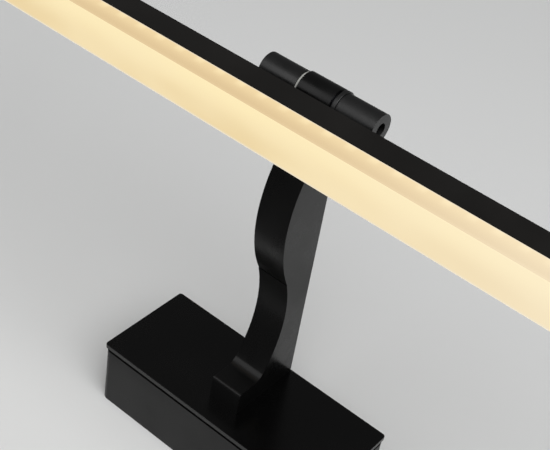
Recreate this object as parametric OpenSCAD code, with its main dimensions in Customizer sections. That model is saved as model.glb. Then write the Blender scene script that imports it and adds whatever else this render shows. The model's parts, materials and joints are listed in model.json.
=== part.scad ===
// Wall-mounted picture light: a box on the wall, a wave-shaped flat arm, a three-knuckle
// friction hinge and a long light bar with an opal diffuser.
// X runs along the bar, Y runs into the wall, Z is up. The wall is the plane Y = 0, and
// "out" is the distance from the wall, so out = -Y.

/* [Wall box] */
// Length of the wall box along the bar
base_l = 100; // [98:1:120]
// Height of the wall box
base_h = 41; // [41:0.5:50]
// Depth of the wall box, wall to front plate
base_d = 28; // [28:0.5:34]
// Radius of the four long corners of the box shell
corner_r = 2.8; // [1.5:0.1:3]
// Radius of the corners of the front plate
plate_corner_r = 1.2; // [0.8:0.1:2]
// Wall thickness of the box shell
shell_wall = 2; // [1.6:0.1:2.2]
// Thickness of the front plate
plate_t = 1.8; // [1.5:0.1:2.5]
// Width of the shadow gap between the shell and the front plate
gap_h = 1; // [0.6:0.1:1.4]

/* [Wall fixing] */
// Distance between the two wall slots
slot_spacing = 76; // [74:1:78]
// Width of each wall slot
slot_w = 4.5; // [4:0.1:5]
// End-to-end length of each wall slot
slot_l = 10; // [8:0.5:11]
// Sheet thickness of the wall bracket
sheet_t = 1.5; // [1:0.1:2]
// Bore of the rubber grommet that the supply cable passes
inlet_d = 6; // [5:0.5:6.5]

/* [Arm] */
// Width of the flat arm along the bar
arm_w = 12.6; // [12:0.2:14]
// Height of the flat rear edge of the arm
arm_rear_z = 19.9; // [19.5:0.1:19.9]
// How far the toe of the foot reaches below the middle of the box
toe_z = 11; // [9:0.5:13]
// Height of the foot above the front plate
foot_h = 9.5; // [9:0.5:11]
// Radius of the upper, bulging stretch of the front edge
bulge_r = 50; // [48:0.5:52]
// Radius of the lower, hollow stretch of the front edge
hollow_r = 46; // [44:0.5:48]

/* [Hinge] */
// Distance of the hinge axis from the wall
hinge_out = 149; // [148:0.5:150]
// Height of the hinge axis above the middle of the box
hinge_z = 14.2; // [14.2:0.1:14.4]
// Diameter of the middle knuckle, at the head of the arm
head_d = 11.6; // [11.2:0.1:11.6]
// Diameter of the two outer knuckles
knuckle_d = 10.6; // [10.2:0.1:11]
// Length of each outer knuckle
knuckle_l = 14.1; // [12:0.1:16]
// Thickness of the black collar right of the middle knuckle
collar_t = 1.4; // [1.2:0.1:1.6]
// Diameter of the hollow hinge pin
pin_d = 6; // [5.8:0.1:6.2]

/* [Light bar] */
// Overall length of the bar without its screw heads
bar_l = 400; // [300:10:900]
// Depth of the bar, front to rear
bar_d = 15.2; // [14.6:0.1:15.4]
// Height of the aluminium channel
channel_h = 10.2; // [10:0.1:10.6]
// Height of the diffuser below the channel
diffuser_h = 8.1; // [7:0.1:9]
// Distance between neighbouring LEDs
led_pitch = 8.33; // [6:0.01:20]

/* [Hidden] */
$fn = 48;
eps = 0.01;
satin_black = [0.09, 0.09, 0.09];
steel = [0.75, 0.76, 0.78];

// Box levels, all as distances out from the wall
lip_out = base_d - plate_t - gap_h;
plate_out = base_d - plate_t;
gap_in = 1;
lug_out = plate_out - 7.2;
lug_t = 3;
lug_at = [base_l / 2 - 7.5, base_h / 2 - 7.5];
lug_size = 12;

// Bracket ears and the screws through the ends of the shell
bracket_l = base_l - 2 * shell_wall - 0.4;
bracket_h = 30;
ear_out = 14;
ear_h = 16;
ear_screw_out = 8;

// Cable inlet, terminal block and earth screw, as [x, z]
inlet_at = [26, -9];
terminal_at = [26, 7];
earth_at = [38, -10];

// Driver box: ends, half height, and levels out from the wall
driver_x = [-32, 12];
driver_h = 27;
driver_out = [sheet_t + 1, sheet_t + 19];
driver_wall = 1.2;
board_out = driver_out[0] + 5;

// Arm screws and the lead's way through the front plate
arm_screw_z = [-4.5, 8];
lead_z = 15;
lead_d = 2;
bushing_d = 5;

// Arm outline: centres of the two big arcs, as [out, z]
foot_out = base_d + foot_h;
bulge_at = [104, bulge_r - 0.5];
hollow_at = [64, 8.4 - hollow_r];
kink_out = 79.5;
neck_z = 12;
neck_fillet_r = 3;
toe_r = 1.2;
foot_fillet_r = 6;
head_r = head_d / 2;

// Groove in the rear edge of the arm, with its cover strip
groove_w = 3.6;
groove_z = 16.2;
groove_foot_z = 12.6;
groove_foot_end = 46;
groove_end = 139.5;
cover_w = 6;
cover_t = 0.8;
cover_end = 141;

// Hinge stack along X, outwards from the middle knuckle
play = 0.05;
washer_t = 1;
wave_t = 0.7;
left_knuckle_x = -arm_w / 2 - washer_t - 2 * play;
right_knuckle_x = arm_w / 2 + wave_t + collar_t + 3 * play;
knuckle_bore_d = pin_d + 2 * play;
pin_bore_d = 4;
end_wall = 1.6;
end_hole_d = 4.6;
pin_x = [left_knuckle_x - 2.9, right_knuckle_x + knuckle_l - end_wall - 0.1];
side_hole_d = 3.4;
side_hole_lean = atan2(4, hinge_out - groove_end);
plug_t = 2;
grommet_d = 4.4;
drop_hole_x = left_knuckle_x - 6.8;
web_hole_x = -9;

// Light bar section, as distances out from the wall and heights
bar_front = hinge_out + 4.2;
bar_rear = bar_front - bar_d;
bar_top = hinge_z - 8;
channel_bottom = bar_top - channel_h;
channel_t = 1.3;
web_z = channel_bottom + 2.2;
web_t = 1.2;
port_d = 2.3;
port_boss_d = 4.2;
port_at = [[bar_rear + 3.2, bar_top - 3.2], [bar_front - 3.2, bar_top - 3.2]];
cap_t = 1.6;
profile_l = bar_l - 2 * cap_t;
leaf_t = 1.8;
leaf_l = 64;
leaf_out = [bar_front - 12.7, bar_front - 1.7];
leaf_screw_at = [27.5, bar_front - 7.2];
board_w = 10;
board_t = 1;
board_z = web_z - board_t;
led_size = [3.5, 2.8, 0.7];
led_count = floor((profile_l - 12) / led_pitch);
diffuser_top = channel_bottom - play;
diffuser_bottom = channel_bottom - diffuser_h;
diffuser_t = 1.8;
diffuser_r = 1;
tongue_t = 1;
tongue_rise = 1.4;
mid_out = (bar_front + bar_rear) / 2;

// Lead routes, as [x, out, z]; the two leads meet on the hinge axis
lead_meet_x = pin_x[0] + 1.4;
arm_lead_route = [
    [-31.8, 12, 8], [-34.6, 13.6, 9], [-35, 17.4, 12], [-32, 21.8, 15.2],
    [-24, 22.8, 15.8], [-8, 23, 15.6], [-2, 23.4, 15.2], [0, 25.4, lead_z],
    [0, 30, lead_z], [0, 36, 15.8], [0, 42, 17.4], [0, 50, 17.7], [0, 80, 17.7],
    [0, 110, 17.7], [0, 134, 17.7], [0, 139.6, 17.7], [0, 143.6, 16.5],
    [0, 146.4, 15.3], [-0.5, 147.8, 14.6], [-1.8, 148.8, hinge_z + 0.1],
    [-4, hinge_out, hinge_z], [-6, hinge_out, hinge_z], [lead_meet_x, hinge_out, hinge_z]
];
bar_lead_route = [
    [lead_meet_x - play, hinge_out, hinge_z], [-10.1, hinge_out, hinge_z],
    [-11, hinge_out, hinge_z], [-13.4, hinge_out, 13.4], [drop_hole_x, hinge_out, 11], [drop_hole_x, hinge_out, 7],
    [drop_hole_x, hinge_out, 4.2], [drop_hole_x + 0.3, 148.3, 2.1], [-13, 146.8, 0.9],
    [-10.8, mid_out, 0.8], [web_hole_x, mid_out, 0], [web_hole_x, mid_out, web_z + 0.1]
];
supply_z = [4, 10];

// Smooth curve through control points, and the tube swept along it
function unit(v) = v / norm(v);
function catmull(a, b, c, d, t) = 0.5 * (2 * b + (c - a) * t
    + (2 * a - 5 * b + 4 * c - d) * t * t + (3 * b - a - 3 * c + d) * t * t * t);
function smooth(p, steps) = concat(
    [for (i = [0 : len(p) - 2]) for (k = [0 : steps - 1])
        catmull(p[max(i - 1, 0)], p[i], p[i + 1], p[min(i + 2, len(p) - 1)], k / steps)],
    [p[len(p) - 1]]);
function headings(p) = [for (i = [0 : len(p) - 1])
    unit(p[min(i + 1, len(p) - 1)] - p[max(i - 1, 0)])];
function carried(t, side) = [for (i = 0, n = side; i < len(t);
    i = i + 1, n = i < len(t) ? unit(n - (n * t[i]) * t[i]) : n) unit(n - (n * t[i]) * t[i])];
function to_row(p) = [for (q = p) [q[0], -q[1], q[2]]];

// A round lead along a route of [x, out, z] points
module lead(route, d, side, sides = 8, steps = 3) {
    p = smooth(to_row(route), steps);
    t = headings(p);
    n = carried(t, side);
    last = len(p) - 1;
    ring = [for (i = [0 : last]) for (k = [0 : sides - 1])
        let (a = 360 * k / sides)
        p[i] + d / 2 * (cos(a) * n[i] + sin(a) * cross(t[i], n[i]))];
    walls = [for (i = [0 : last - 1]) for (k = [0 : sides - 1])
        let (m = (k + 1) % sides)
        [i * sides + k, (i + 1) * sides + k, (i + 1) * sides + m, i * sides + m]];
    first_cap = [for (k = [0 : sides - 1]) k];
    last_cap = [for (k = [sides - 1 : -1 : 0]) last * sides + k];
    polyhedron(ring, concat(walls, [first_cap, last_cap]));
}

// Extrudes an [x, z] outline outwards between two distances from the wall
module outward(from, to) {
    translate([0, -from, 0]) rotate([90, 0, 0]) linear_extrude(to - from) children();
}

// Extrudes a [-out, z] outline along the bar between two x positions
module along_bar(from, to) {
    translate([from, 0, 0]) rotate([90, 0, 90]) linear_extrude(to - from) children();
}

// Round rod pointing out of the wall
module rod_out(x, z, from, to, d) {
    outward(from, to) translate([x, z]) circle(d = d);
}

// Round rod along the bar
module rod_bar(out, z, from, to, d) {
    along_bar(from, to) translate([-out, z]) circle(d = d);
}

// Rectangle from its ranges of out and z, for use in along_bar()
module span(out, z) {
    translate([-out[1], z[0]]) square([out[1] - out[0], z[1] - z[0]]);
}

// Rectangle with round corners, centred
module rounded_rect(w, h, r) {
    square([w - 2 * r, h], center = true);
    square([w, h - 2 * r], center = true);
    for (x = [-1, 1]) for (z = [-1, 1])
        translate([x * (w / 2 - r), z * (h / 2 - r)]) circle(r);
}

module box_outline(inset = 0) {
    rounded_rect(base_l - 2 * inset, base_h - 2 * inset, max(corner_r - inset, 0.4));
}

module plate_outline() {
    rounded_rect(base_l, base_h, plate_corner_r);
}

// Pan-head screw pointing along +Z, its head below z = 0
module screw(d, len, head_d, head_h, recess_d = 0) {
    difference() {
        union() {
            cylinder(h = len, d = d);
            translate([0, 0, -head_h]) cylinder(h = head_h, d = head_d);
        }
        translate([0, 0, -head_h - eps]) cylinder(h = head_h * 0.6, d = recess_d, $fn = 6);
    }
}

// ---- wall bracket and electrics ----

module wall_bracket() {
    color(steel) difference() {
        union() {
            outward(0, sheet_t) square([bracket_l, bracket_h], center = true);
            for (s = [-1, 1]) outward(0, ear_out)
                translate([s * (bracket_l - sheet_t) / 2, 0])
                    square([sheet_t, ear_h], center = true);
        }
        for (s = [-1, 1]) outward(-1, sheet_t + 1) translate([s * slot_spacing / 2, 0]) {
            square([slot_l - slot_w, slot_w], center = true);
            for (e = [-1, 1]) translate([e * (slot_l - slot_w) / 2, 0]) circle(d = slot_w);
        }
        rod_out(inlet_at[0], inlet_at[1], -1, sheet_t + 1, inlet_d + 3);
        rod_out(earth_at[0], earth_at[1], -1, sheet_t + 1, 3.3);
        rod_bar(ear_screw_out, 0, -base_l, base_l, 2.5);
    }
}

module cable_grommet() {
    color([0.12, 0.12, 0.12]) translate([inlet_at[0], 0, inlet_at[1]])
        rotate([90, 0, 0]) rotate_extrude() polygon([
            [inlet_d / 2, 0], [inlet_d / 2 + 1.5, 0], [inlet_d / 2 + 1.5, sheet_t],
            [inlet_d / 2 + 2.8, sheet_t], [inlet_d / 2 + 2.8, sheet_t + 1.2],
            [inlet_d / 2, sheet_t + 1.2]
        ]);
}

module terminal_block() {
    color("white") difference() {
        outward(sheet_t, sheet_t + 11) translate(terminal_at) square([11, 15], center = true);
        for (z = supply_z) {
            rod_out(terminal_at[0], z, sheet_t + 8, sheet_t + 12, 4.2);
            rod_out(terminal_at[0], z, sheet_t + 4, sheet_t + 9, 3);
            rod_bar(sheet_t + 4, z, terminal_at[0] - 6, terminal_at[0] + 6, 2.6);
        }
    }
}

module terminal_screws() {
    color(steel) for (z = supply_z) translate([terminal_at[0], -sheet_t - 8, z])
        rotate([-90, 0, 0]) screw(2.9, 3, 3.8, 1.4, 1.6);
}

module earth_screw() {
    color([0.75, 0.62, 0.3]) translate([earth_at[0], -sheet_t - 0.8, earth_at[1]])
        rotate([-90, 0, 0]) union() {
            screw(3.2, 2.2, 6, 2.2, 2.5);
            cylinder(h = 0.8, d = 7.6);
        }
}

module driver_pad() {
    color([0.3, 0.3, 0.3]) outward(sheet_t, driver_out[0])
        translate([(driver_x[0] + driver_x[1]) / 2, 0]) square([34, 18], center = true);
}

module driver_outline(inset) {
    translate([(driver_x[0] + driver_x[1]) / 2, 0])
        rounded_rect(driver_x[1] - driver_x[0] - 2 * inset, driver_h - 2 * inset, 1);
}

module driver_case() {
    color("white") difference() {
        outward(driver_out[0], driver_out[1] - driver_wall) driver_outline(0);
        outward(driver_out[0] + driver_wall, driver_out[1]) driver_outline(driver_wall);
        rod_bar(12, 8, driver_x[0] - 1, driver_x[0] + 2, 3.2);
        for (z = supply_z) rod_bar(sheet_t + 4, z, driver_x[1] - 2, driver_x[1] + 1, 2.2);
    }
    color("white") for (x = [driver_x[0] + 4, driver_x[1] - 4]) for (z = [-10, 0])
        rod_out(x, z, driver_out[0] + driver_wall - eps, board_out, 4);
}

module driver_lid() {
    color("white") outward(driver_out[1] - driver_wall, driver_out[1]) driver_outline(0);
}

module driver_board() {
    color([0.1, 0.4, 0.2]) outward(board_out, board_out + 1.2)
        driver_outline(driver_wall + 0.3);
}

module driver_components() {
    top = board_out + 1.2;
    color([0.75, 0.6, 0.2]) {
        outward(top, top + 9.4) translate([-10, 0]) square([13, 14], center = true);
        rod_out(4, -6, top, top + 9, 7);
        rod_out(4, 5, top, top + 7, 5);
        rod_out(-24, -6, top, top + 8.4, 6);
        outward(top, top + 4) translate([-24, 5]) square([6, 8], center = true);
    }
}

module supply_leads() {
    color([0.55, 0.3, 0.2]) for (z = supply_z)
        lead([[driver_x[1] - 1.5, sheet_t + 4, z], [driver_x[1] + 1, sheet_t + 4, z],
            [(driver_x[1] + terminal_at[0] - 5) / 2, sheet_t + 5.6, z],
            [terminal_at[0] - 6, sheet_t + 4, z], [terminal_at[0] - 2, sheet_t + 4, z]],
            1.6, [0, 0, 1]);
}

// ---- wall box ----

module base_shell() {
    color(satin_black) {
        difference() {
            union() {
                outward(0, lip_out) box_outline();
                outward(lip_out - eps, plate_out) box_outline(gap_in);
            }
            outward(-1, base_d) box_outline(shell_wall);
            rod_bar(ear_screw_out, 0, -base_l, base_l, 3.3);
        }
        difference() {
            intersection() {
                outward(lug_out, lug_out + lug_t) box_outline(shell_wall - 0.5);
                outward(lug_out, lug_out + lug_t) lug_squares(lug_size);
            }
            for (p = lug_points()) rod_out(p[0], p[1], lug_out - 1, lug_out + lug_t + 1, 3.3);
        }
    }
}

function lug_points() = [for (x = [-1, 1]) for (z = [-1, 1]) [x * lug_at[0], z * lug_at[1]]];

module lug_squares(size) {
    for (p = lug_points()) translate(p) square(size, center = true);
}

module shell_screws() {
    color(satin_black) for (s = [-1, 1])
        translate([s * base_l / 2, -ear_screw_out, 0]) rotate([0, -90 * s, 0])
            screw(2.4, 6.5, 5.2, 1.4, 2);
}

module front_plate() {
    color(satin_black) difference() {
        union() {
            outward(plate_out, base_d) plate_outline();
            for (p = lug_points()) rod_out(p[0], p[1], lug_out + lug_t, plate_out + eps, 6.4);
        }
        for (p = lug_points()) rod_out(p[0], p[1], lug_out + lug_t - 1, plate_out + 0.6, 2.5);
        for (z = arm_screw_z) rod_out(0, z, plate_out - 1, base_d + 1, 4.3);
        rod_out(0, lead_z, plate_out - 1, base_d + 1, bushing_d);
    }
}

module plate_screws() {
    color(steel) for (p = lug_points()) translate([p[0], -lug_out, p[1]])
        rotate([90, 0, 0]) screw(2.4, 7, 5.4, 1.9, 2);
}

module lead_bushing() {
    color([0.15, 0.15, 0.15]) translate([0, 0, lead_z]) rotate([90, 0, 0]) rotate_extrude()
        polygon([
            [lead_d / 2 + 0.3, plate_out - 0.8], [3, plate_out - 0.8], [3, plate_out],
            [bushing_d / 2, plate_out], [bushing_d / 2, base_d], [lead_d / 2 + 0.3, base_d]
        ]);
}

// ---- arm ----

// Foot block with a rounded toe
module foot_outline() {
    span([base_d, foot_out - toe_r], [-toe_z, arm_rear_z]);
    span([base_d, foot_out], [toe_r - toe_z, arm_rear_z]);
    translate([toe_r - foot_out, toe_r - toe_z]) circle(toe_r);
}

// Fillet in the corner between the foot and the hollow stretch
module fillet_outline() {
    out = foot_out + foot_fillet_r - 0.05;
    reach = hollow_r - foot_fillet_r + 0.05;
    z = hollow_at[1] + sqrt(reach * reach - pow(hollow_at[0] - out, 2));
    difference() {
        span([foot_out - 0.5, out - foot_fillet_r / 2], [z, z + foot_fillet_r]);
        translate([-out, z]) circle(foot_fillet_r);
    }
}

// Hollow lower stretch, from the foot up to the kink
module hollow_outline() {
    difference() {
        span([foot_out - eps, kink_out], [-2, arm_rear_z]);
        translate([-hollow_at[0], hollow_at[1]]) circle(hollow_r, $fn = 96);
    }
}

// Bulging upper stretch, from the kink up to the neck
module bulge_outline() {
    intersection() {
        span([kink_out - eps, neck_end()], [-2, arm_rear_z]);
        translate([-bulge_at[0], bulge_at[1]]) circle(bulge_r, $fn = 96);
    }
}

// Where the bulging arc has come back to the height of the neck
function neck_end() = bulge_at[0] + sqrt(pow(bulge_r, 2) - pow(bulge_at[1] - neck_z, 2));

// Neck and round head, with a fillet below the head
module head_outline() {
    reach = head_r + neck_fillet_r - 0.05;
    drop = hinge_z - neck_z + neck_fillet_r;
    run = sqrt(reach * reach - drop * drop);
    start = -neck_end() + 0.5;
    fillet = [for (i = [8 : -1 : 0]) let (a = 90 + i / 8 * (90 - atan2(drop, run)))
        [run - hinge_out, neck_z - neck_fillet_r] + neck_fillet_r * [cos(a), sin(a)]];
    polygon(concat(fillet, [[start, neck_z], [start, arm_rear_z], [-hinge_out, arm_rear_z],
        [-hinge_out, hinge_z]]));
    translate([-hinge_out, hinge_z]) circle(head_r);
}

// Straight hole from the hinge axis up into the end of the groove
module side_hole() {
    translate([0, -hinge_out, hinge_z]) rotate([side_hole_lean - 90, 0, 0])
        cylinder(h = 13, d = side_hole_d);
}

module arm() {
    half = arm_w / 2;
    color(satin_black) difference() {
        along_bar(-half, half) {
            foot_outline();
            fillet_outline();
            hollow_outline();
            bulge_outline();
            head_outline();
        }
        rod_bar(hinge_out, hinge_z, -half - 1, half + 1, pin_d);
        along_bar(-groove_w / 2, groove_w / 2) {
            span([base_d - 1, groove_foot_end], [groove_foot_z, arm_rear_z]);
            span([base_d - 1, groove_end], [groove_z, arm_rear_z]);
        }
        along_bar(-cover_w / 2, cover_w / 2)
            span([base_d - 1, cover_end], [arm_rear_z - cover_t, arm_rear_z + 1]);
        side_hole();
        for (z = arm_screw_z) rod_out(0, z, base_d - 1, base_d + 8, 4);
    }
}

module arm_screws() {
    color(steel) for (z = arm_screw_z) translate([0, -plate_out + 0.8, z])
        rotate([90, 0, 0]) screw(3.9, 9.4, 7, 2.4, 3);
}

module arm_screw_washers() {
    color(steel) for (z = arm_screw_z) outward(plate_out - 0.8, plate_out)
        translate([0, z]) difference() {
            circle(d = 7.6);
            circle(d = 4.3);
        }
}

module groove_cover() {
    color(satin_black) along_bar(-cover_w / 2, cover_w / 2)
        span([base_d, cover_end], [arm_rear_z - cover_t, arm_rear_z]);
}

module arm_lead() {
    color([0.9, 0.9, 0.88]) lead(arm_lead_route, lead_d, [0, 0, 1]);
}

// ---- hinge ----

module hinge_pin() {
    color(steel) difference() {
        rod_bar(hinge_out, hinge_z, pin_x[0], pin_x[1], pin_d);
        rod_bar(hinge_out, hinge_z, pin_x[0] - 1, pin_x[1] + 1, pin_bore_d);
        side_hole();
    }
}

// Flat ring on the hinge axis
module ring(x, t, outer_d, inner_d) {
    along_bar(x, x + t) translate([-hinge_out, hinge_z]) difference() {
        circle(d = outer_d);
        circle(d = inner_d);
    }
}

module washer_left() {
    color("white") ring(-arm_w / 2 - play - washer_t, washer_t, knuckle_d - 0.2, 6.4);
}

module washer_right() {
    color(satin_black) ring(right_knuckle_x - play - collar_t, collar_t, head_d, 6.4);
}

module wave_washer() {
    color([0.2, 0.2, 0.2]) ring(arm_w / 2 + play, wave_t, 9.4, 6.4);
}

module hinge_bracket() {
    knuckles = [left_knuckle_x - knuckle_l, right_knuckle_x];
    color(satin_black) difference() {
        union() {
            along_bar(-leaf_l / 2, leaf_l / 2) span(leaf_out, [bar_top, bar_top + leaf_t]);
            for (x = knuckles) {
                rod_bar(hinge_out, hinge_z, x, x + knuckle_l, knuckle_d);
                along_bar(x, x + knuckle_l)
                    span([hinge_out - 4.2, hinge_out + 1.4], [bar_top + eps, hinge_z - 2]);
            }
        }
        rod_bar(hinge_out, hinge_z, knuckles[0] - 1, left_knuckle_x + 1, knuckle_bore_d);
        rod_bar(hinge_out, hinge_z, knuckles[1] - 1, knuckles[1] + knuckle_l - end_wall,
            knuckle_bore_d);
        rod_bar(hinge_out, hinge_z, knuckles[1], knuckles[1] + knuckle_l + 1, end_hole_d);
        translate([drop_hole_x, -hinge_out, bar_top - 1])
            cylinder(h = hinge_z - bar_top + 1, d = side_hole_d);
        for (s = [-1, 1]) translate([s * leaf_screw_at[0], -leaf_screw_at[1], bar_top - 1])
            cylinder(h = leaf_t + 2, d = 3.3);
    }
}

module knuckle_plug() {
    x = left_knuckle_x - knuckle_l;
    color(satin_black) rod_bar(hinge_out, hinge_z, x, x + plug_t, knuckle_bore_d);
}

module bracket_screws() {
    color(satin_black) for (s = [-1, 1])
        translate([s * leaf_screw_at[0], -leaf_screw_at[1], bar_top + leaf_t])
            rotate([180, 0, 0]) screw(2.4, 5, 5.4, 1.7, 2);
}

// ---- light bar ----

module lead_grommet() {
    color([0.12, 0.12, 0.12]) translate([drop_hole_x, -hinge_out, bar_top - channel_t])
        difference() {
            cylinder(h = channel_t, d = grommet_d);
            translate([0, 0, -1]) cylinder(h = channel_t + 2, d = lead_d + 0.6);
        }
}

module bar_lead() {
    color([0.9, 0.9, 0.88]) lead(bar_lead_route, lead_d, [0, 0, 1]);
}

module lamp_channel() {
    inside = [bar_rear + channel_t, bar_front - channel_t];
    color(satin_black) difference() {
        along_bar(-profile_l / 2, profile_l / 2) {
            difference() {
                span([bar_rear, bar_front], [channel_bottom, bar_top]);
                difference() {
                    span(inside, [web_z + web_t, bar_top - channel_t]);
                    for (p = port_at) translate([-p[0], p[1]]) circle(d = port_boss_d);
                }
                span(inside, [channel_bottom - 1, web_z]);
                for (p = port_at) translate([-p[0], p[1]]) circle(d = port_d);
            }
        }
        translate([drop_hole_x, -hinge_out, web_z + web_t])
            cylinder(h = bar_top - web_z, d = grommet_d);
        translate([web_hole_x, -mid_out, web_z - 1]) cylinder(h = web_t + 2, d = 3);
        for (s = [-1, 1]) translate([s * leaf_screw_at[0], -leaf_screw_at[1], bar_top - 2])
            cylinder(h = 3, d = 2.5);
    }
}

module led_board() {
    color([0.92, 0.92, 0.9]) along_bar(-profile_l / 2 + 1, profile_l / 2 - 1)
        span([mid_out - board_w / 2, mid_out + board_w / 2], [board_z, web_z]);
}

module led_chips() {
    color([0.98, 0.85, 0.4]) for (i = [0 : led_count - 1])
        translate([(i - (led_count - 1) / 2) * led_pitch - led_size[0] / 2,
            -mid_out - led_size[1] / 2, board_z - led_size[2]]) cube(led_size);
}

// Open-topped trough with a tongue on each side that snaps into the channel
module diffuser() {
    depth = bar_front - bar_rear;
    color([1, 0.93, 0.78]) along_bar(-profile_l / 2, profile_l / 2) {
        difference() {
            union() {
                span([bar_rear, bar_front], [diffuser_bottom + diffuser_r, diffuser_top]);
                span([bar_rear + diffuser_r, bar_front - diffuser_r],
                    [diffuser_bottom, diffuser_top]);
                for (out = [bar_rear + diffuser_r, bar_front - diffuser_r])
                    translate([-out, diffuser_bottom + diffuser_r]) circle(diffuser_r);
            }
            span([bar_rear + diffuser_t + 0.6, bar_front - diffuser_t - 0.6],
                [diffuser_bottom + diffuser_t, diffuser_top + 1]);
        }
        for (out = [bar_rear + channel_t + 0.1, bar_front - channel_t - 0.1 - tongue_t])
            span([out, out + tongue_t], [diffuser_top - 1, diffuser_top + tongue_rise]);
    }
}

module end_cap_outline() {
    span([bar_rear, bar_front], [diffuser_bottom + diffuser_r, bar_top]);
    span([bar_rear + diffuser_r, bar_front - diffuser_r], [diffuser_bottom, bar_top]);
    for (out = [bar_rear + diffuser_r, bar_front - diffuser_r])
        translate([-out, diffuser_bottom + diffuser_r]) circle(diffuser_r);
}

module end_cap(from) {
    color(satin_black) along_bar(from, from + cap_t) difference() {
        end_cap_outline();
        for (p = port_at) translate([-p[0], p[1]]) circle(d = 2.6);
    }
}

module end_cap_left() {
    end_cap(-bar_l / 2);
}

module end_cap_right() {
    end_cap(bar_l / 2 - cap_t);
}

module end_cap_screws() {
    color(satin_black) for (s = [-1, 1]) for (p = port_at)
        translate([s * bar_l / 2, -p[0], p[1]]) rotate([0, -90 * s, 0])
            screw(2.2, 9, 4.2, 1.2, 1.6);
}

wall_bracket();
cable_grommet();
terminal_block();
terminal_screws();
earth_screw();
driver_pad();
driver_case();
driver_lid();
driver_board();
driver_components();
supply_leads();
base_shell();
shell_screws();
front_plate();
plate_screws();
lead_bushing();
arm();
arm_screws();
arm_screw_washers();
groove_cover();
arm_lead();
hinge_pin();
washer_left();
washer_right();
wave_washer();
hinge_bracket();
knuckle_plug();
bracket_screws();
lead_grommet();
bar_lead();
lamp_channel();
led_board();
led_chips();
diffuser();
end_cap_left();
end_cap_right();
end_cap_screws();
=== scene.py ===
"""Looks of the wall picture light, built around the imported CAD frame.

Everything is in metres, in the frame's axes: X along the light bar, Y into the wall, Z up.
"""

import json
import math

import bmesh
import bpy
from mathutils import Matrix, Vector


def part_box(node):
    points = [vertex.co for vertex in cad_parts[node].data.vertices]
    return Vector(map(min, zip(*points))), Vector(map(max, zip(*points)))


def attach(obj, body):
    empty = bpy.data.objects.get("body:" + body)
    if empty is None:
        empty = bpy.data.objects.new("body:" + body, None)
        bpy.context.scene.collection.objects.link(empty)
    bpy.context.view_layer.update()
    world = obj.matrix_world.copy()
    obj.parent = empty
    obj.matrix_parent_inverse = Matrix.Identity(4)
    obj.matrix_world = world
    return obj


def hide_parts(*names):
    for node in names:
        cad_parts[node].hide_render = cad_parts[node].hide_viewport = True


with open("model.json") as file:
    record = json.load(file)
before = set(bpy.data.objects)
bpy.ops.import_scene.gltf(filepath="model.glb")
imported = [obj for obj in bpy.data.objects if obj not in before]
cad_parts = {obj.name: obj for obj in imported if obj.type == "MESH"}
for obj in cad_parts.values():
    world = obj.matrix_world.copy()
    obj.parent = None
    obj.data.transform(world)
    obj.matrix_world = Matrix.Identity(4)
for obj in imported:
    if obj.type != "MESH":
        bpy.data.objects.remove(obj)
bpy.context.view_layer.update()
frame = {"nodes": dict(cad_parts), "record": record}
nodes = frame["nodes"]
MM = 0.001

# Places taken from the frame
channel_low, channel_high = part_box("lamp_channel")
diffuser_low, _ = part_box("diffuser")
bar_front = channel_low.y
bar_rear = channel_high.y
channel_bottom = channel_low.z
diffuser_bottom = diffuser_low.z
LED_PITCH = 8.33 * MM

# Strengths of what glows: the LEDs, the diffuser, the floor and the backdrop that the camera sees
CHIP_GLOW = 3.0
OPAL_GLOW = 0.91
FLOOR_GLOW = 0.25
BACKDROP_GLOW = 0.62


# ---- node helpers ----


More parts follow.
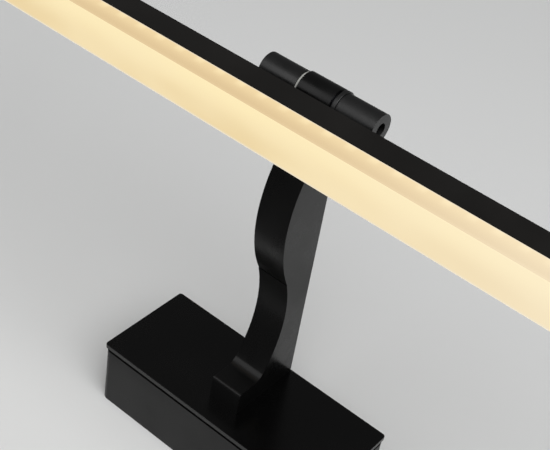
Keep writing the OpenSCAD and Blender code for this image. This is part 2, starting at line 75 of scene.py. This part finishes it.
class Shader:
    """A Principled material whose nodes are added one by one."""

    def __init__(self, name, roughness=0.5, metallic=0.0, specular=0.5):
        self.material = bpy.data.materials.new(name)
        self.material.use_nodes = True
        self.tree = self.material.node_tree
        self.surface = self.tree.nodes["Principled BSDF"]
        self.set(Roughness=roughness, Metallic=metallic)
        self.surface.inputs["Specular IOR Level"].default_value = specular
        self.place = self.node("ShaderNodeTexCoord").outputs["Object"]

    def node(self, kind, **settings):
        made = self.tree.nodes.new(kind)
        for key, value in settings.items():
            setattr(made, key, value)
        return made

    def set(self, **sockets):
        for key, value in sockets.items():
            self.surface.inputs[key].default_value = value

    def link(self, source, socket):
        self.tree.links.new(source, self.surface.inputs[socket])

    def feed(self, node, index, value):
        """Gives a node's input a number, a colour or another node's output."""
        if hasattr(value, "is_output"):
            self.tree.links.new(value, node.inputs[index])
        else:
            node.inputs[index].default_value = value

    def math(self, operation, a, b=0.0):
        made = self.node("ShaderNodeMath", operation=operation)
        self.feed(made, 0, a)
        self.feed(made, 1, b)
        return made.outputs[0]

    def ramp(self, value, low, high, to_low=0.0, to_high=1.0):
        """value from low..high to to_low..to_high, clamped, with smooth ends."""
        made = self.node("ShaderNodeMapRange", interpolation_type="SMOOTHSTEP")
        for index, number in enumerate((value, low, high, to_low, to_high)):
            self.feed(made, index, number)
        return made.outputs[0]

    def mix(self, factor, a, b):
        made = self.node("ShaderNodeMix", data_type="RGBA")
        for index, value in ((0, factor), (6, a), (7, b)):
            self.feed(made, index, value)
        return made.outputs[2]

    def noise(self, size, detail=2.0, stretch=(1, 1, 1), offset=0.0):
        """Noise whose features are about size metres across."""
        mapping = self.node("ShaderNodeMapping")
        mapping.inputs["Scale"].default_value = stretch
        mapping.inputs["Location"].default_value = (offset, offset, offset)
        self.tree.links.new(self.place, mapping.inputs["Vector"])
        made = self.node("ShaderNodeTexNoise")
        made.inputs["Scale"].default_value = 1 / size
        made.inputs["Detail"].default_value = detail
        self.tree.links.new(mapping.outputs[0], made.inputs["Vector"])
        return made.outputs["Fac"]

    def bump(self, height, depth):
        made = self.node("ShaderNodeBump")
        made.inputs["Distance"].default_value = depth
        made.inputs["Strength"].default_value = 1.0
        self.tree.links.new(height, made.inputs["Height"])
        self.link(made.outputs[0], "Normal")

    def xyz(self):
        split = self.node("ShaderNodeSeparateXYZ")
        self.tree.links.new(self.place, split.inputs[0])
        return split.outputs


def grey(value, warm=0.0):
    return (value * (1 + warm), value, value * (1 - warm), 1)


def speckled(name, colour, roughness, grain=0.35 * MM, depth=0.012 * MM, vary=0.15, cloud=22 * MM,
             metallic=0.0, specular=0.5, stretch=(1, 1, 1), rough_vary=0.08):
    """Paint, plastic or metal with a fine grain, cloudy gloss and a little colour variation."""
    s = Shader(name, roughness, metallic, specular)
    clouds = s.noise(cloud, 4.0, offset=3.1)
    grains = s.noise(grain, 2.0, stretch)
    dark = tuple(c * (1 - vary) for c in colour[:3]) + (1,)
    light = tuple(min(1.0, c * (1 + vary)) for c in colour[:3]) + (1,)
    tone = s.mix(s.ramp(clouds, 0.3, 0.7), dark, light)
    tone = s.mix(s.ramp(grains, 0.35, 0.75, 0.0, 0.35), tone, light)
    s.link(tone, "Base Color")
    cloudy = s.ramp(clouds, 0.25, 0.75, roughness - rough_vary, roughness + rough_vary)
    grainy = s.ramp(grains, 0.3, 0.7, -0.02, 0.03)
    s.link(s.math("ADD", cloudy, grainy), "Roughness")
    s.bump(grains, depth)
    return s.material


def brushed(name, colour, roughness, along=(0.03, 1, 1), scratch=0.12 * MM, depth=0.004 * MM):
    """Bare metal with fine lines along one axis."""
    return speckled(name, colour, roughness, scratch, depth, 0.12, 12 * MM, 1.0, 0.5, along, 0.06)


# ---- materials ----

# Base colour of the black paint: nearly all that is seen of it is its sheen
black = 0.0016
MATERIALS = {
    "box_black": speckled("satin_box_paint", grey(black), 0.36, 0.3 * MM, 0.004 * MM, specular=0.24),
    "plate_black": speckled("semi_gloss_plate_paint", grey(black * 0.4), 0.24, 0.3 * MM, 0.0012 * MM,
                            rough_vary=0.03, specular=0.42),
    "arm_black": speckled("satin_arm_paint", grey(black), 0.31, 0.28 * MM, 0.004 * MM, specular=0.3),
    "knuckle_black": speckled("grained_knuckle_paint", grey(0.003), 0.38, 0.5 * MM, 0.022 * MM, 0.3,
                              specular=0.62),
    "channel_black": speckled("black_anodised_channel", grey(0.005, 0.15), 0.43, 0.2 * MM, 0.003 * MM,
                              stretch=(0.15, 1, 1), specular=0.4),
    "cap_black": speckled("black_moulded_cap", grey(0.012), 0.55, 0.5 * MM, 0.012 * MM),
    "screw_black": speckled("black_oxide_screw", grey(0.02), 0.38, 0.3 * MM, 0.006 * MM, 0.25, 3 * MM, 0.6),
    "zinc_steel": speckled("zinc_plated_steel", (0.55, 0.56, 0.57, 1), 0.36, 1.6 * MM, 0.006 * MM, 0.12,
                           8 * MM, 1.0),
    "pin_steel": brushed("blackened_pin_steel", (0.02, 0.02, 0.02, 1), 0.5, (1, 0.05, 0.05)),
    "spring_steel": brushed("blued_spring_steel", (0.1, 0.1, 0.11, 1), 0.35),
    "earth_brass": brushed("plain_brass", (0.72, 0.52, 0.22, 1), 0.3),
    "washer_nylon": speckled("washer_nylon_grain", (0.34, 0.34, 0.32, 1), 0.45, 0.3 * MM, 0.004 * MM),
    "black_rubber": speckled("matt_black_rubber", grey(0.02), 0.75, 0.25 * MM, 0.01 * MM, 0.2),
    "terminal_nylon": speckled("terminal_nylon_grain", (0.72, 0.71, 0.66, 1), 0.45, 0.4 * MM, 0.005 * MM),
    "pad_foam": speckled("grey_foam", grey(0.12), 0.95, 0.4 * MM, 0.06 * MM, 0.35),
    "driver_white": speckled("driver_case_grain", (0.7, 0.7, 0.68, 1), 0.5, 0.5 * MM, 0.012 * MM, 0.06),
    "board_green": speckled("solder_mask", (0.02, 0.17, 0.06, 1), 0.35, 1.5 * MM, 0.01 * MM, 0.25),
    "component_body": speckled("component_lacquer", (0.5, 0.36, 0.08, 1), 0.4, 1 * MM, 0.01 * MM, 0.3),
    "lead_brown": speckled("brown_lead_sleeve", (0.16, 0.06, 0.03, 1), 0.45, 0.4 * MM, 0.004 * MM),
    "lead_white": speckled("pale_lead_sleeve", (0.68, 0.67, 0.63, 1), 0.45, 0.4 * MM, 0.004 * MM),
    "led_board_white": speckled("white_board_mask", (0.8, 0.8, 0.77, 1), 0.4, 0.8 * MM, 0.004 * MM, 0.05),
}


def lit_chip():
    """Glowing yellow phosphor under clear resin, slightly mottled."""
    s = Shader("led_phosphor_glow", 0.15)
    spots = s.noise(0.6 * MM)
    s.link(s.mix(spots, (0.9, 0.6, 0.15, 1), (1.0, 0.8, 0.35, 1)), "Base Color")
    s.link(s.mix(spots, (1.0, 0.75, 0.4, 1), (1.0, 0.88, 0.6, 1)), "Emission Color")
    s.set(**{"Emission Strength": CHIP_GLOW})
    s.bump(spots, 0.01 * MM)
    return s.material


def lit_opal():
    """Opal plastic lit from inside: its glow depends on the place, with a soft spot per LED."""
    s = Shader("opal_diffuser_glow", 0.42, 0.0, 0.35)
    x, y, z = s.xyz()
    # how far down the front face, and how far along the underside from front to rear, from 0 to 1
    below_channel = s.math("SUBTRACT", channel_bottom, z)
    face_drop = s.math("DIVIDE", below_channel, channel_bottom - diffuser_bottom)
    under_run = s.math("DIVIDE", s.math("SUBTRACT", y, bar_front), bar_rear - bar_front)
    on_front = s.math("LESS_THAN", under_run, 0.03)
    # front face: pale at the channel, then a warm band, darkest just above the corner
    spot = s.math("COSINE", s.math("MULTIPLY", x, 2 * math.pi / LED_PITCH))
    spot = s.math("MULTIPLY", s.ramp(spot, -0.2, 1.0), s.ramp(face_drop, 0.05, 0.5, 1.0, 0.0))
    warm = s.mix(s.ramp(face_drop, 0.1, 0.85), (0.86, 0.66, 0.36, 1), (0.72, 0.53, 0.285, 1))
    front = s.mix(s.math("MULTIPLY", spot, 0.8), warm, (0.97, 0.79, 0.46, 1))
    front = s.mix(s.ramp(face_drop, 0.02, 0.1, 1.0, 0.0), front, (0.86, 0.74, 0.56, 1))
    # underside: brightest by the front corner, warm towards the rear, a pale line at the rear edge
    blotch = s.noise(26 * MM, 2.0, (0.45, 1, 1), 7.3)
    under = s.mix(s.ramp(under_run, 0.1, 0.75), (1.0, 0.84, 0.49, 1), (0.85, 0.67, 0.37, 1))
    under = s.mix(s.ramp(blotch, 0.35, 0.65, 0.0, 0.6), under, (0.96, 0.81, 0.5, 1))
    under = s.mix(s.ramp(under_run, 0.9, 0.96), under, (0.87, 0.76, 0.57, 1))
    glow = s.mix(on_front, under, front)
    # the glow is whiter towards the right end
    whiter = s.ramp(x, -0.01, 0.13, 0.0, 0.55)
    glow = s.mix(whiter, glow, (0.98, 0.88, 0.69, 1))
    s.link(glow, "Emission Color")
    s.set(**{"Emission Strength": OPAL_GLOW})
    s.link(s.mix(blotch, (0.1, 0.085, 0.06, 1), (0.13, 0.11, 0.075, 1)), "Base Color")
    s.bump(s.noise(0.5 * MM), 0.003 * MM)
    return s.material


MATERIALS["led_phosphor"] = lit_chip()
MATERIALS["opal"] = lit_opal()


# ---- pieces ----


MERGE_DISTANCE = 0.0005 * MM
FLAT_ANGLE = math.radians(0.6)
BEVEL_ANGLE = math.radians(32)
CREASE_ANGLE = math.radians(38)
BEVEL_SEGMENTS = 3
FACE_WEIGHT = 80


def clean_copy(node):
    """The CAD node's faces as a bmesh with its flat faces merged, ready to be bevelled."""
    bm = bmesh.new()
    bm.from_mesh(nodes[node].data)
    bmesh.ops.remove_doubles(bm, verts=bm.verts, dist=MERGE_DISTANCE)
    bmesh.ops.dissolve_limit(
        bm, angle_limit=FLAT_ANGLE, verts=bm.verts, edges=bm.edges, use_dissolve_boundaries=False
    )
    return bm


def turns_by_more(edge, angle):
    return len(edge.link_faces) == 2 and edge.calc_face_angle(0) > angle


def finished(node, width):
    """Stands for a CAD node: the same shape with its sharp edges rounded to width."""
    bm = clean_copy(node)
    edges = [e for e in bm.edges if turns_by_more(e, BEVEL_ANGLE)]
    bmesh.ops.bevel(
        bm, geom=edges, offset=width, offset_type="OFFSET", segments=BEVEL_SEGMENTS, profile=0.5,
        affect="EDGES", clamp_overlap=True, loop_slide=True,
    )
    for face in bm.faces:
        face.smooth = True
    for edge in bm.edges:
        edge.smooth = not turns_by_more(edge, CREASE_ANGLE)
    mesh = bpy.data.meshes.new(node + "_finished")
    bm.to_mesh(mesh)
    bm.free()
    # normals carried over from the frame no longer fit the rounded faces
    if "custom_normal" in mesh.attributes:
        mesh.attributes.remove(mesh.attributes["custom_normal"])
    piece = bpy.data.objects.new(node + "_finished", mesh)
    bpy.context.scene.collection.objects.link(piece)
    weighted = piece.modifiers.new("weighted_normals", "WEIGHTED_NORMAL")
    weighted.keep_sharp = True
    weighted.weight = FACE_WEIGHT
    name = slot_of[node]
    mesh.materials.append(MATERIALS[name])
    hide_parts(node)
    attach(piece, body_of[node])


slot_of = {s["node"]: s["material_slot"] for s in frame["record"]["subparts"]}
body_of = {n: b for b, members in frame["record"]["behaviour"]["bodies"].items() for n in members}

for node, piece in nodes.items():
    piece.data.materials.clear()
    piece.data.materials.append(MATERIALS[slot_of[node]])

# Widths of the rounded edges, in millimetres
EDGE_WIDTHS = {
    "base_shell": 0.25, "front_plate": 0.5, "arm": 0.45, "groove_cover": 0.15, "hinge_bracket": 0.35,
    "knuckle_plug": 0.3, "washer_left": 0.2, "washer_right": 0.2, "wave_washer": 0.12,
    "lamp_channel": 0.2, "diffuser": 0.12, "end_cap_left": 0.3, "end_cap_right": 0.3,
    "wall_bracket": 0.15, "cable_grommet": 0.3, "shell_screws": 0.3, "bracket_screws": 0.3,
    "end_cap_screws": 0.25,
}
for node, width in EDGE_WIDTHS.items():
    finished(node, width * MM)


# ---- stage, light and camera ----


STAGE_HALF = 4.0
FLOOR_Z = -1.5
WALL_Y = 0.1 * MM
CARD_TOP = -0.052
SEE_THROUGH = 2 * MM


def plane(name, corners, material, unseen_by):
    """A flat piece of the stage that does not show to the rays named in unseen_by."""
    mesh = bpy.data.meshes.new(name)
    mesh.from_pydata([Vector(c) for c in corners], [], [(0, 1, 2, 3)])
    made = bpy.data.objects.new(name, mesh)
    bpy.context.scene.collection.objects.link(made)
    mesh.materials.append(material)
    for ray in unseen_by:
        setattr(made, "visible_" + ray, False)


def upright(y, top):
    """Corners of an upright rectangle as wide as the stage, from the floor to a height."""
    return [(-STAGE_HALF, y, FLOOR_Z), (STAGE_HALF, y, FLOOR_Z), (STAGE_HALF, y, top), (-STAGE_HALF, y, top)]


def wall_paint():
    """Pale matt wall that shows only from the room side, so that the lamp's back can be looked at.

    It is also clear to rays that start very near it.
    """
    s = Shader("pale_wall_paint", 0.9, 0.0, 0.2)
    s.link(s.mix(s.noise(0.25, 2.0), (0.71, 0.715, 0.71, 1), (0.73, 0.735, 0.735, 1)), "Base Color")
    s.bump(s.noise(1.2 * MM, 3.0), 0.02 * MM)
    clear = s.node("ShaderNodeBsdfTransparent").outputs[0]
    close = s.math("LESS_THAN", s.node("ShaderNodeLightPath").outputs["Ray Length"], SEE_THROUGH)
    behind = s.math("MAXIMUM", close, s.node("ShaderNodeNewGeometry").outputs["Backfacing"])
    blend = s.node("ShaderNodeMixShader")
    for index, value in enumerate((behind, s.surface.outputs[0], clear)):
        s.feed(blend, index, value)
    s.tree.links.new(blend.outputs[0], s.tree.nodes["Material Output"].inputs["Surface"])
    return s.material


plane("stage_wall", upright(WALL_Y, STAGE_HALF), wall_paint(), ("diffuse", "shadow"))

floor_paint = speckled("pale_floor", (0.7, 0.7, 0.69, 1), 0.8, 4 * MM, 0.02 * MM, 0.02, 0.4)
floor_surface = floor_paint.node_tree.nodes["Principled BSDF"]
floor_surface.inputs["Emission Color"].default_value = (1, 1, 1, 1)
floor_surface.inputs["Emission Strength"].default_value = FLOOR_GLOW
floor_corners = [(x * STAGE_HALF, y * STAGE_HALF, FLOOR_Z) for x, y in ((-1, -1), (1, -1), (1, 1), (-1, 1))]
plane("stage_floor", floor_corners, floor_paint, ("glossy", "diffuse", "shadow"))

# A dark card before the lower wall, seen only in reflections, keeps the underside of the arm dark
card_cloth = speckled("grey_card", grey(0.12), 0.9, 2 * MM, 0.1 * MM)
plane("stage_card", upright(0, CARD_TOP), card_cloth, ("camera", "diffuse", "shadow"))


def area_light(name, place, size, watts):
    """A round soft lamp aimed at the middle of the wall box's back."""
    data = bpy.data.lights.new(name, "AREA")
    data.shape = "DISK"
    data.size = size
    data.energy = watts
    made = bpy.data.objects.new(name, data)
    made.location = place
    made.rotation_mode = "QUATERNION"
    made.rotation_quaternion = (-Vector(place)).to_track_quat("-Z", "Y")
    bpy.context.scene.collection.objects.link(made)


area_light("key_front_right", (1.0, -1.9, -0.6), 2.2, 50)
area_light("fill_front_left", (-0.92, -1.5, -1.3), 1.6, 8)


def studio_room():
    """What reflections see: dim towards the room, bright beyond the wall. To the camera, plain pale grey."""
    world = bpy.data.worlds.new("studio")
    bpy.context.scene.world = world
    world.use_nodes = True
    tree = world.node_tree
    links = tree.links

    def node(kind, **settings):
        made = tree.nodes.new(kind)
        for key, value in settings.items():
            setattr(made, key, value)
        return made

    def toward(direction, low, high, dim, bright):
        """Radiance that grows from dim to bright as a ray turns towards a direction."""
        dot = node("ShaderNodeVectorMath", operation="DOT_PRODUCT")
        links.new(place.outputs["Generated"], dot.inputs[0])
        dot.inputs[1].default_value = Vector(direction).normalized()
        ramp = node("ShaderNodeMapRange", interpolation_type="SMOOTHSTEP")
        links.new(dot.outputs["Value"], ramp.inputs[0])
        for index, value in enumerate((low, high, dim, bright), 1):
            ramp.inputs[index].default_value = value
        return ramp.outputs[0]

    place = node("ShaderNodeTexCoord")
    room = toward((0, 1, 0), 0.0, 0.3, 0.12, 0.7)
    eye = node("ShaderNodeLightPath").outputs["Is Camera Ray"]
    shown = node("ShaderNodeMix", data_type="FLOAT")
    links.new(eye, shown.inputs[0])
    links.new(room, shown.inputs[2])
    shown.inputs[3].default_value = BACKDROP_GLOW
    links.new(shown.outputs[0], tree.nodes["Background"].inputs["Strength"])
    tree.nodes["Background"].inputs["Color"].default_value = (1, 1, 1, 1)


studio_room()

scene = bpy.context.scene
scene.view_settings.view_transform = "Standard"
scene.view_settings.look = "None"

# Camera below the bar, looking up past it at the wall box
EYE = Vector((163.6, -346.8, -251.0)) * MM
RIGHT = Vector((0.764547, -0.139476, 0.629297))
UP = Vector((-0.485765, -0.766406, 0.420302))
BACK = Vector((0.423675, -0.627032, -0.653705))
camera = bpy.data.objects.new("camera", bpy.data.cameras.new("camera"))
camera.data.lens = 78.16
camera.data.clip_start = 0.01
camera.matrix_world = Matrix.Translation(EYE) @ Matrix((RIGHT, UP, BACK)).transposed().to_4x4()
scene.collection.objects.link(camera)
scene.camera = camera
